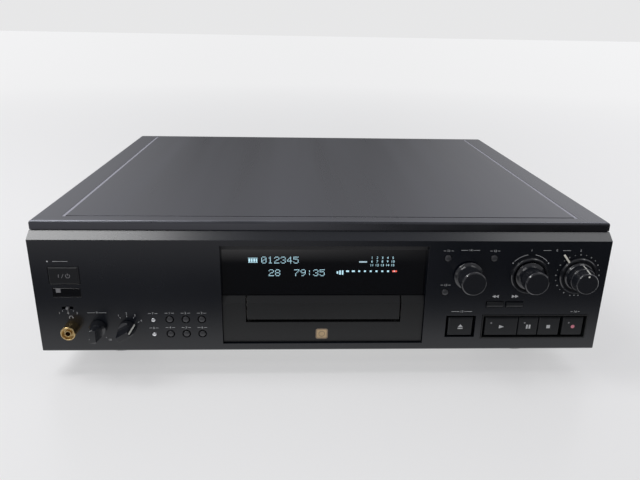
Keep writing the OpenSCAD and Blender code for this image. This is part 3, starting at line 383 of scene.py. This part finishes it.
# Sizes, and heights over a control's middle, in millimetres
LABEL_H = 1.7
LABEL_GAP = 1.2
RULE_H = 0.26
SHORTEST_RULE = 0.4
TICK_W = 0.24
ROUND_LABEL_UP = 5.3
BRIGHT_LABEL_UP = 5.5
MENU_LABEL_UP = 5.8
SEEK_MARK_UP = 6.7
POWER_LABEL_UP = 11.2
PHONE_LABEL_UP = 12.4
KEY_LABEL_UP = 12.9
KNOB_LABEL_UP = 20
SCALE_R = 16.7

# Turns from the top, and steps of the scales, in degrees
PHONE_TURN = 150
SELECTOR_STEP = 30
LEVEL_TURN = 150
LEVEL_STEP = 15


def number(name, text, x, z):
    """A plain grey number on the front."""
    digits(name, text, x, z, LABEL_H, 0, "ink", "case")


def label(marks, name, text, x, z, width):
    """A plain number between two short rules."""
    number(name, text, x, z)
    number_w = LABEL_H * FIGURE_W * len(text) + LABEL_GAP
    rule = (width - number_w) / 2
    if rule > SHORTEST_RULE:
        for side in (-1, 1):
            marks.put(block(x + side * (number_w + rule) / 2, z, rule, RULE_H))


def mark_timer(marks):
    """Three numbers and ticks under the timer lever."""
    x, z = centre("timer_lever")
    for i, text in enumerate("102"):
        number(f"timer_number_{i}", text, x + (i - 1) * 6.5, z - 4.4)
        marks.put(stroke(x + (i - 1) * 4, z - 2.6, 0.9, 0.25, 0))


def mark_headphones(marks):
    """Headphone sign over the adapter: a bow and two pads."""
    x, z = centre("headphone_adapter")
    marks.put(band(x, z + 8.6, 1.2, 0.3, -95, 95, 12))
    for side in (-1, 1):
        marks.put(block(x + side * 1.25, z + 8.3, 0.6, 1.0))


def mark_phone_level(marks):
    """End ticks and end numbers of the phone level scale."""
    x, z = centre("phone_level_knob")
    for angle in (-PHONE_TURN, PHONE_TURN):
        marks.put(stroke(x, z, 0.9, TICK_W, angle, 10.0))
    label(marks, "phone_number", "9", x, z + PHONE_LABEL_UP, 14)
    number("phone_scale_low", "0", x - 7.6, z - 10.6)
    number("phone_scale_high", "10", x + 7.6, z - 10.6)


def mark_selector(marks):
    """Tick and number at each place of the input selector."""
    x, z = centre("input_selector_knob")
    for i in range(4):
        angle = (i - 1) * SELECTOR_STEP
        a = math.radians(angle)
        marks.put(stroke(x, z, 1.2, 0.28, angle, 9.9))
        number(f"input_number_{i}", str(i + 1), x + 12.2 * math.sin(a), z + 12.2 * math.cos(a))


def number_buttons(marks, nodes, name, first, up, width):
    """Running numbers over a group of buttons."""
    for i, node in enumerate(nodes):
        x, z = centre(node)
        label(marks, f"{name}_{i}", str(i + first), x, z + up, width)


def mark_level_knobs(marks):
    """Numbers and rules over the level knobs, and the digital knob's two arcs with end dots."""
    dx, dz = centre("digital_level_ring")
    ax, az = centre("analog_level_knob")
    number("level_number_1", "1", dx - 0.5, dz + KNOB_LABEL_UP)
    number("level_number_2", "2", ax - 0.5, az + KNOB_LABEL_UP)
    number("level_number_mid", "0", (dx + ax) / 2, dz + KNOB_LABEL_UP)
    for at in (0.3, 0.7):
        marks.put(block(dx + (ax - dx) * at, dz + KNOB_LABEL_UP, 6, RULE_H))
    for side in (-1, 1):
        marks.put(band(dx, dz, SCALE_R, 0.3, side * 10, side * 48))
        end = math.radians(side * 54)
        marks.put(disc(dx + SCALE_R * math.sin(end), dz + SCALE_R * math.cos(end), 0.5))


def mark_seek_buttons(marks):
    """Double arrows over the rewind and forward buttons."""
    size = 2.5
    for side, node in ((-1, "rewind_button"), (1, "forward_button")):
        x, z = centre(node)
        for at in (-1, 1):
            marks.put(triangle(x + at * size / 2, z + SEEK_MARK_UP, size, side))


def print_front():
    """All grey marks on the front's face, as one piece beside the numbers."""
    marks = Printed("front_marks", "ink", "case", 0)
    mark_timer(marks)
    mark_headphones(marks)
    mark_phone_level(marks)
    mark_selector(marks)
    number_buttons(marks, ROUND_BUTTONS, "button_number", 1, ROUND_LABEL_UP, 7)
    number_buttons(marks, BRIGHT_BUTTONS, "bright_number", 7, BRIGHT_LABEL_UP, 7)
    number_buttons(marks, MENU_BUTTONS, "menu_number", 11, MENU_LABEL_UP, 7.5)
    x, z = centre("jog_knob")
    label(marks, "jog_number", "14", x, z + KNOB_LABEL_UP, 14)
    mark_level_knobs(marks)
    mark_seek_buttons(marks)
    x, z = centre("open_close_button")
    label(marks, "open_number", "15", x, z + KEY_LABEL_UP, 16)
    x, z = centre("record_button")
    label(marks, "record_number", "16", x, z + KEY_LABEL_UP, 7)
    x, z = centre("power_button")
    marks.put(disc(x - 10.6, z + POWER_LABEL_UP, 0.55), block(x - 1.5, z + POWER_LABEL_UP, 11, RULE_H))
    marks.done()


def print_level_scale():
    """Dots of the analog level scale, larger at every second step, and three at its foot."""
    x, z = centre("analog_level_knob")
    dots = Printed("analog_scale", "scale_ink", "case", 0)
    for i in range(2 * LEVEL_TURN // LEVEL_STEP + 1):
        a = math.radians(i * LEVEL_STEP - LEVEL_TURN)
        size = 0.56 if i % 2 == 0 else 0.38
        dots.put(disc(x + SCALE_R * math.sin(a), z + SCALE_R * math.cos(a), size, 12))
    for i in (-1, 0, 1):
        dots.put(disc(x + 3.2 * i, z - SCALE_R, 0.45, 12))
    dots.done()


def print_sign(name, node, material, *loops):
    """Sign on a button's face."""
    Printed(name, material, node, front_of(node)).put(*loops).done()


def print_buttons():
    """Signs of power, eject, play, pause, stop and record, and the small lamps of three keys."""
    x, z = centre("power_button")
    print_sign("power_mark", "power_button", "lever",
               stroke(x - 3.6, z, 2.6, 0.4, 0), stroke(x - 0.8, z, 3.4, 0.35, 25),
               band(x + 3, z, 1.5, 0.4, 35, 325, 20), stroke(x + 3, z + 1.2, 1.6, 0.4, 0))
    x, z = centre("open_close_button")
    print_sign("eject_mark", "open_close_button", "ink",
               [(x - 2, z - 0.4), (x + 2, z - 0.4), (x, z + 2)], block(x, z - 1.5, 4, 0.9))
    x, z = centre("play_button")
    print_sign("play_mark", "play_button", "ink", [(x - 2, z - 1.5), (x + 2, z), (x - 2, z + 1.5)])
    x, z = centre("pause_button")
    print_sign("pause_mark", "pause_button", "ink",
               block(x - 1.05, z, 1.3, 3.4), block(x + 1.05, z, 1.3, 3.4))
    x, z = centre("stop_button")
    print_sign("stop_mark", "stop_button", "ink", block(x - 0.7, z, 2.8, 2.8))
    x, z = centre("record_button")
    print_sign("record_mark", "record_button", "red_ink", disc(x, z, 1.5, 28))
    for node in ("play_button", "pause_button", "record_button"):
        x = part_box(node)[0][0] / MM + 4.6
        z = centre(node)[1] + 3.3
        print_sign(node.replace("button", "lamp"), node, "lever", disc(x, z, 0.7))


def line_down(name, node, angle, points, width, material):
    """Line down a knob's side: points are (radius, height over the front), angle from the top."""
    x, z = centre(node)
    turn = math.radians(angle)
    outward = Vector((math.sin(turn), 0, math.cos(turn)))
    across = Vector((math.cos(turn), 0, -math.sin(turn))) * width / 2 * MM
    bm = bmesh.new()
    rings = []
    for r, height in points:
        inner = at_front(x, -height, z) + outward * r * MM
        outer = inner + outward * PRINT_T
        rings.append([bm.verts.new(p) for p in
                      (inner - across, inner + across, outer + across, outer - across)])
    for near, far in zip(rings, rings[1:]):
        for i in range(4):
            bm.faces.new([near[i], near[(i + 1) % 4], far[(i + 1) % 4], far[i]])
    bm.faces.new(rings[0])
    bm.faces.new(rings[-1])
    bmesh.ops.recalc_face_normals(bm, faces=bm.faces)
    mesh = bpy.data.meshes.new(name)
    bm.to_mesh(mesh)
    bm.free()
    add_piece(name, mesh, material, node)


# Turns in degrees from the top, as in the photo; then how deep the dot lies in the analog knob's
# face, and the depth of the balance ring's face (less than 0: it stands before the front)
SELECTOR_TURN = 60
ANALOG_TURN = 5.4
BALANCE_TURN = -38
DOT_SUNK = 0.055
BALANCE_FACE = -2.2


def print_knobs():
    """Pointer lines of the selector, the analog knob and the balance ring."""
    line_down("selector_pointer", "input_selector_knob", SELECTOR_TURN,
              [(6.4, 0.8), (6.4, 3.0), (5.3, 15.0)], 1.2, "white_ink")
    line_down("analog_line_low", "analog_level_knob", ANALOG_TURN,
              [(9.78, 4.7), (9.4, 9.9)], 1.0, "white_ink")
    line_down("analog_line_high", "analog_level_knob", ANALOG_TURN,
              [(9.08, 11.0), (8.12, 16.8)], 1.0, "white_ink")
    x, z = centre("analog_level_knob")
    face = front_of("analog_level_knob") + DOT_SUNK
    Printed("analog_dot", "white_ink", "analog_level_knob", face).put(disc(x + 0.2, z + 6, 0.7)).done()
    Printed("balance_pointer", "cream", "balance_ring", BALANCE_FACE).put(
        stroke(x, z, 8.2, 1.4, BALANCE_TURN, 18.2)).done()


print_front()
print_level_scale()
print_buttons()
print_knobs()


# ---------- Display ----------

# Dot rows of each figure, from the top down
DIGIT_ROWS = {
    "0": "01110 10001 10011 10101 11001 10001 01110", "1": "00100 01100 00100 00100 00100 00100 01110",
    "2": "01110 10001 00001 00110 01000 10000 11111", "3": "01110 10001 00001 00110 00001 10001 01110",
    "4": "00010 00110 01010 10010 11111 00010 00010", "5": "11111 10000 11110 00001 00001 10001 01110",
    "6": "00110 01000 10000 11110 10001 10001 01110", "7": "11111 00001 00010 00100 01000 01000 01000",
    "8": "01110 10001 10001 01110 10001 10001 01110", "9": "01110 10001 10001 01111 00001 00010 01100",
    ":": "00000 00100 00100 00000 00100 00100 00000", " ": "00000 00000 00000 00000 00000 00000 00000",
}

# Places and sizes in millimetres, as at_front takes them
DOT_PITCH = 0.80
DOT = 0.56
UPPER_ROW = (-47.0, -17.6)
LOWER_ROW = (-41.6, -27.9)
SIGN_Z = -17.8
RISING_Z = -27.7
METER_Z = -26.6
METER_H = 1.3
TRACK_COUNT = 15
TRACKS_IN_ROW = 5
TRACK_H = 1.9
TRACK_X, TRACK_Z = 35.8, -15.7
TRACK_STEP = 3.95
TRACK_ROW = 3.0
SHADE_Z = -6.8
SHADE_W = 154.4
SHADE_H = 5.0
EMBLEM_PLACE = (-1.2, -77.6)


def matrix_text(marks, text, x, z):
    """Dot-matrix numbers; (x, z) is the left end at mid height."""
    for i, character in enumerate(text):
        for row, bits in enumerate(DIGIT_ROWS[character].split()):
            for column, bit in enumerate(bits):
                if bit == "1":
                    marks.put(block(x + (i * 6 + column) * DOT_PITCH, z + (3 - row) * DOT_PITCH,
                                    DOT, DOT))


def light_numbers(depth):
    """Two rows of numbers, a framed sign before the upper one and rising bars after the lower one."""
    lit = Printed("display_numbers", "vfd", "case", depth)
    matrix_text(lit, "012345", *UPPER_ROW)
    matrix_text(lit, "28  79:35", *LOWER_ROW)
    for x, width in ((-56.2, 1.4), (-54.4, 1.2), (-52.6, 1.2), (-50.9, 1.2)):
        lit.put(soft_block(x, SIGN_Z, width, 2.6, 0.5, 3))
    for side in (-1, 1):
        lit.put(block(-53.6, SIGN_Z + side * 1.75, 7.2, 0.35))
    for i in range(3):
        height = 3.4 if i else 2.0
        lit.put(block(10 + 1.95 * i, RISING_Z, 1.2, height))
    lit.done()


def light_meter(depth):
    """Level meter: a row of pale bars, of which the first two are wider, and two red ones."""
    meter = Printed("display_meter", "vfd", "case", depth)
    for i in range(9):
        width = 1.5 if i > 1 else 2.2
        meter.put(block(17.6 + 4.4 * i, METER_Z, width, METER_H))
    meter.done()
    peak = Printed("display_peak", "vfd_red", "case", depth)
    for x in (52.5, 54.4):
        peak.put(block(x, METER_Z, 1.6, METER_H))
    peak.done()


def number_tracks(depth):
    """Grid of track numbers, with a dim rule before it."""
    for i in range(TRACK_COUNT):
        x = TRACK_X + TRACK_STEP * (i % TRACKS_IN_ROW)
        z = TRACK_Z - TRACK_ROW * (i // TRACKS_IN_ROW)
        digits(f"track_number_{i + 1}", str(i + 1), x, z, TRACK_H, depth, "vfd", "case")
    Printed("display_rule", "vfd_dim", "case", depth).put(block(29.1, -19.0, 6.0, 1.1)).done()


def light_display():
    """All that is lit in the display window."""
    depth = front_of("display_window")
    light_numbers(depth)
    light_meter(depth)
    number_tracks(depth)


def shade_window():
    """Matt black strip over the upper edge of the display window."""
    Printed("window_shade", "sheet", "case", front_of("display_window")).put(
        block(0, SHADE_Z, SHADE_W, SHADE_H)).done()


def place_emblem():
    """Plain framed square with a ring in it, on the centre panel under the drawer."""
    depth = front_of("centre_panel")
    layer = PRINT_T / MM
    x, z = EMBLEM_PLACE
    Printed("emblem_frame", "emblem_edge", "case", depth).put(
        soft_block(x, z, 9.4, 8.8, 1.6)).done()
    Printed("emblem_field", "emblem", "case", depth - layer).put(
        soft_block(x, z, 7.6, 7.0, 1.2)).done()
    Printed("emblem_disc", "emblem_edge", "case", depth - 2 * layer).put(
        band(x, z, 2.2, 0.5, 0, 359.9, 40)).done()


def mark_sensor():
    """Grey field in the upper left of the remote-control window."""
    x, z = centre("ir_window")
    Printed("sensor_mark", "lever", "case", front_of("ir_window")).put(
        block(x - 6.2, z + 1.6, 3.4, 3.2)).done()


# ---------- Grooves of the top plate ----------

# Middle of a groove from the plate's side, its ends from the front and from the rear,
# and the width, foot and top of the pale fill painted in as its highlight
GROOVE_IN = 21.5 * MM
GROOVE_START = 10.5 * MM
GROOVE_END = 6.5 * MM
GROOVE_W = 2.1 * MM
GROOVE_DEEP = 0.8 * MM
HIGHLIGHT_SUNK = 0.2 * MM
CROSS_W = 0.7 * MM


def paint_groove_highlight(name, start, end, material):
    """Thin pale fill in a groove of the top plate, a painted highlight of its walls, from one corner of
    its plan to the other.
    """
    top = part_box("top_plate")[1][2]
    bm = bmesh.new()
    bmesh.ops.create_cube(bm, size=1)
    for v in bm.verts:
        v.co = (end[0] if v.co.x > 0 else start[0], end[1] if v.co.y > 0 else start[1],
                top - (HIGHLIGHT_SUNK if v.co.z > 0 else GROOVE_DEEP))
    mesh = bpy.data.meshes.new(name)
    bm.to_mesh(mesh)
    bm.free()
    add_piece(name, mesh, material, "case")


def paint_groove_highlights():
    """Painted highlights in the grooves: two long pale ones, and a thin dimmer one across near the
    front, a shaded copy.
    """
    low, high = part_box("top_plate")
    x = high[0] - GROOVE_IN
    near = low[1] + GROOVE_START
    far = high[1] - GROOVE_END
    half = GROOVE_W / 2
    paint_groove_highlight("groove_left", (-x - half, near), (-x + half, far), "groove")
    paint_groove_highlight("groove_right", (x - half, near), (x + half, far), "groove")
    paint_groove_highlight("groove_across", (-x + half, near), (x - half, near + CROSS_W), "groove_shaded_highlight")


light_display()
shade_window()
place_emblem()
paint_groove_highlights()
mark_sensor()


# ---------- Camera ----------

# Solved from the photo's perspective: pixels, degrees, and millimetres from the front
PHOTO_W = 640
FOCAL_PX = 602.5
SENSOR_W = 36.0
PITCH, YAW, ROLL = (math.radians(a) for a in (19.87, -2.62, 1.07))
EYE = at_front(-22.9, -413.5, 150.2)


def add_camera():
    """Camera of the photo, looking down, a little to the side, and rolled."""
    data = bpy.data.cameras.new("camera")
    data.sensor_width = SENSOR_W
    data.lens = FOCAL_PX / PHOTO_W * SENSOR_W
    data.clip_start = 0.01
    camera = bpy.data.objects.new("camera", data)
    ahead = Vector((-math.sin(YAW) * math.cos(PITCH), math.cos(YAW) * math.cos(PITCH),
                    -math.sin(PITCH)))
    side = Vector((math.cos(YAW), math.sin(YAW), 0))
    up = side.cross(ahead)
    right = side * math.cos(ROLL) + up * math.sin(ROLL)
    top = up * math.cos(ROLL) - side * math.sin(ROLL)
    camera.matrix_world = Matrix((
        (right.x, top.x, -ahead.x, EYE.x), (right.y, top.y, -ahead.y, EYE.y),
        (right.z, top.z, -ahead.z, EYE.z), (0, 0, 0, 1)))
    bpy.context.scene.collection.objects.link(camera)
    bpy.context.scene.camera = camera


# ---------- Studio ----------

# What the floor gives off near the deck and far away, and its base colour near the deck
FLOOR_NEAR = (0.46, 0.46, 0.465)
FLOOR_FAR = (0.80, 0.80, 0.805)
FLOOR_BASE = (0.39, 0.39, 0.392)

# What reflections see of it before the deck, and beyond that on the left
FLOOR_SHADE = (0.01, 0.01, 0.01)
FLOOR_BEYOND = (0.50, 0.49, 0.50)

# Where it goes over from one to the other, in metres: outwards from the frame's origin,
# forwards (Y falls towards the viewer) and to the right
FADE_FROM, FADE_TO = 0.35, 2.2
SHADE_FULL_Y, SHADE_END_Y = -0.30, -0.22
BEYOND_FULL_Y, BEYOND_END_Y = -0.445, -0.395
BEYOND_FULL_X, BEYOND_END_X = -0.05, 0.18

FLOOR_HALF = 12
FLOOR_ROUGH, FAR_ROUGH = 0.32, 0.6


def pale_floor():
    """Plain paper that glows a little, so that shadows stay light, and fades into the backdrop.

    Reflections see it dark from just before the deck, like the unlit end of a studio table, and
    paler again farther out, left of the middle.
    """
    bm = bmesh.new()
    bmesh.ops.create_grid(bm, x_segments=2, y_segments=2, size=FLOOR_HALF)
    mesh = bpy.data.meshes.new("floor")
    bm.to_mesh(mesh)
    bm.free()
    floor = bpy.data.objects.new("floor", mesh)
    bpy.context.scene.collection.objects.link(floor)

    n = Nodes("floor_paper")
    place = n.add("ShaderNodeTexCoord")
    reach = n.add("ShaderNodeVectorMath", operation="LENGTH")
    n.link(place.outputs["Object"], reach.inputs[0])
    far = n.spread(reach.outputs["Value"], 0, 1, FADE_FROM, FADE_TO)
    parts = n.add("ShaderNodeSeparateXYZ")
    n.link(place.outputs["Object"], parts.inputs[0])

    # Shade before the deck, for reflections only, and the paler part beyond it
    shade = n.add("ShaderNodeMath", operation="MULTIPLY")
    n.link(n.spread(parts.outputs["Y"], 1, 0, SHADE_FULL_Y, SHADE_END_Y), shade.inputs[0])
    n.link(n.add("ShaderNodeLightPath").outputs["Is Glossy Ray"], shade.inputs[1])
    beyond = n.add("ShaderNodeMath", operation="MULTIPLY")
    n.link(n.spread(parts.outputs["Y"], 1, 0, BEYOND_FULL_Y, BEYOND_END_Y), beyond.inputs[0])
    n.link(n.spread(parts.outputs["X"], 1, 0, BEYOND_FULL_X, BEYOND_END_X), beyond.inputs[1])

    glow_colour = n.add("ShaderNodeMix", data_type="RGBA")
    n.link(shade.outputs[0], glow_colour.inputs[0])
    n.link(n.blend(far, FLOOR_NEAR, FLOOR_FAR), glow_colour.inputs[6])
    n.link(n.blend(beyond.outputs[0], FLOOR_SHADE, FLOOR_BEYOND), glow_colour.inputs[7])
    n.link(glow_colour.outputs[2], n.shader.inputs["Emission Color"])
    n.shader.inputs["Emission Strength"].default_value = 1

    paper = n.add("ShaderNodeMix", data_type="RGBA")
    n.link(shade.outputs[0], paper.inputs[0])
    n.link(n.blend(far, FLOOR_BASE, (0, 0, 0)), paper.inputs[6])
    paper.inputs[7].default_value = (*FLOOR_SHADE, 1)
    n.link(paper.outputs[2], n.shader.inputs["Base Color"])
    n.link(n.spread(far, FLOOR_ROUGH, FAR_ROUGH, 0, 1), n.shader.inputs["Roughness"])
    n.shader.inputs["Specular IOR Level"].default_value = 0.2
    mesh.materials.append(n.material)


def soft_world(light, shown, near, low, high, beside, above, zenith):
    """Pale backdrop for the camera, even light on the deck, and a room for its reflections.

    The room is grey on the near side. On the far side it is dark low down, pale higher up and
    beside, palest above, and grey straight overhead.
    """
    world = bpy.data.worlds.new("studio")
    bpy.context.scene.world = world
    world.use_nodes = True
    tree = world.node_tree
    path = tree.nodes.new("ShaderNodeLightPath")
    place = tree.nodes.new("ShaderNodeTexCoord")
    parts = tree.nodes.new("ShaderNodeSeparateXYZ")
    tree.links.new(place.outputs["Generated"], parts.inputs[0])

    def spread(value, start, end):
        """0 at the start and 1 at the end of a stretch of the value."""
        ramp = tree.nodes.new("ShaderNodeMapRange")
        ramp.inputs["From Min"].default_value = start
        ramp.inputs["From Max"].default_value = end
        tree.links.new(value, ramp.inputs["Value"])
        return ramp.outputs["Result"]

    def mixed(factor, first, second):
        """From the first at 0 to the second at 1; each is a colour or a socket."""
        mix = tree.nodes.new("ShaderNodeMix")
        mix.data_type = "RGBA"
        tree.links.new(factor, mix.inputs[0])
        for socket, colour in ((mix.inputs[6], first), (mix.inputs[7], second)):
            if isinstance(colour, tuple):
                socket.default_value = (*colour, 1)
            else:
                tree.links.new(colour, socket)
        return mix.outputs[2]

    aside = tree.nodes.new("ShaderNodeMath")
    aside.operation = "ABSOLUTE"
    tree.links.new(parts.outputs["X"], aside.inputs[0])
    wall = mixed(spread(parts.outputs["Z"], 0.12, 0.40), low, high)
    wall = mixed(spread(aside.outputs[0], 0.15, 0.6), wall, beside)
    wall = mixed(spread(parts.outputs["Z"], 0.5, 0.75), wall, above)
    wall = mixed(spread(parts.outputs["Z"], 0.88, 0.98), wall, zenith)
    room = mixed(spread(parts.outputs["Y"], -0.3, 0.4), near, wall)
    lit = mixed(path.outputs["Is Glossy Ray"], light, room)
    seen = mixed(path.outputs["Is Camera Ray"], lit, shown)
    tree.links.new(seen, tree.nodes["Background"].inputs["Color"])


def soft_box(name, place, aim, size, power):
    """White rectangular lamp; places and sizes in metres, power in watts."""
    data = bpy.data.lights.new(name, "AREA")
    data.shape = "RECTANGLE"
    data.size, data.size_y = size
    data.energy = power
    lamp = bpy.data.objects.new(name, data)
    lamp.location = place
    lamp.rotation_euler = (Vector(aim) - Vector(place)).to_track_quat("-Z", "Y").to_euler()
    lamp.visible_camera = False
    bpy.context.scene.collection.objects.link(lamp)


add_camera()
pale_floor()
soft_world(light=(0.34, 0.34, 0.35), shown=(0.80, 0.80, 0.805), near=(0.30, 0.30, 0.31),
           low=(0.02, 0.02, 0.022), high=(0.62, 0.62, 0.65), beside=(1.0, 1.0, 1.04),
           above=(1.3, 1.3, 1.35), zenith=(0.42, 0.42, 0.44))
soft_box("overhead_left", (-0.75, -0.15, 1.2), (-0.1, 0.0, 0.1), (0.4, 0.8), 8)
soft_box("front_left", (-0.55, -0.75, 0.75), (0.0, -0.2, 0.1), (0.16, 0.16), 0.9)
soft_box("overhead_right", (0.8, -0.1, 1.2), (0.1, 0.0, 0.1), (0.6, 0.6), 2)

bpy.context.scene.view_settings.view_transform = "Standard"
